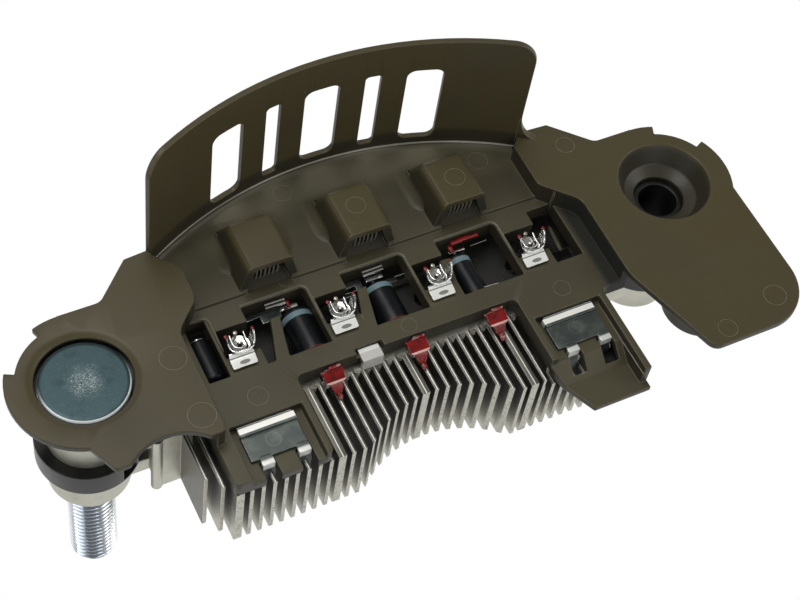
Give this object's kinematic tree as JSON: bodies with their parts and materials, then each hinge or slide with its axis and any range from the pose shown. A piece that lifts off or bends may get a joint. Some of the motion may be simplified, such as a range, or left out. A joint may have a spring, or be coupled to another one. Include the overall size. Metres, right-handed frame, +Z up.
{
  "type": "alternator rectifier",
  "caption": "Alternator rectifier with a moulded terminal board and curved slotted wall, finned heat sinks, pressed diodes, and a threaded output stud.",
  "frame": {"origin": "on the output stud's axis, at the top plane of the two mounting wings", "axes": "+X to the fixing bolt's hole, +Y to the curved rear wall, +Z up from the board, away from the stud's end"},
  "size_m": [0.1253, 0.0591, 0.0761],
  "materials": {
    "board": "satin brown moulding",
    "sink_metal": "as cast, sawn fins",
    "zinc_steel": "zinc plated",
    "insulator": "black moulding",
    "tinned_metal": "bright tinned",
    "contact_metal": "dull tinned",
    "red_lacquer": "glossy lacquer",
    "diode_case": "glossy black",
    "nickel_case": "nickel plated"
  },
  "bodies": {
    "root": {"terminal_board": "board", "positive_heat_sink": "sink_metal", "negative_heat_sink": "sink_metal", "b_plus_stud": "zinc_steel", "stud_insulator": "insulator", "bolt_insulator": "insulator", "field_bus": "tinned_metal", "bus_tab": "tinned_metal", "left_contact_plate": "contact_metal", "right_contact_plate": "contact_metal", "field_diode_1": "diode_case", "lead_tab_1": "red_lacquer", "field_diode_2": "diode_case", "lead_tab_2": "red_lacquer", "field_diode_3": "diode_case", "lead_tab_3": "red_lacquer", "ac_terminal_1": "tinned_metal", "negative_diode_1": "nickel_case", "positive_diode_1": "nickel_case", "ac_terminal_2": "tinned_metal", "negative_diode_2": "nickel_case", "positive_diode_2": "nickel_case", "ac_terminal_3": "tinned_metal", "negative_diode_3": "nickel_case", "positive_diode_3": "nickel_case", "ac_terminal_4": "tinned_metal", "negative_diode_4": "nickel_case", "positive_diode_4": "nickel_case"}
  },
  "joints": []
}
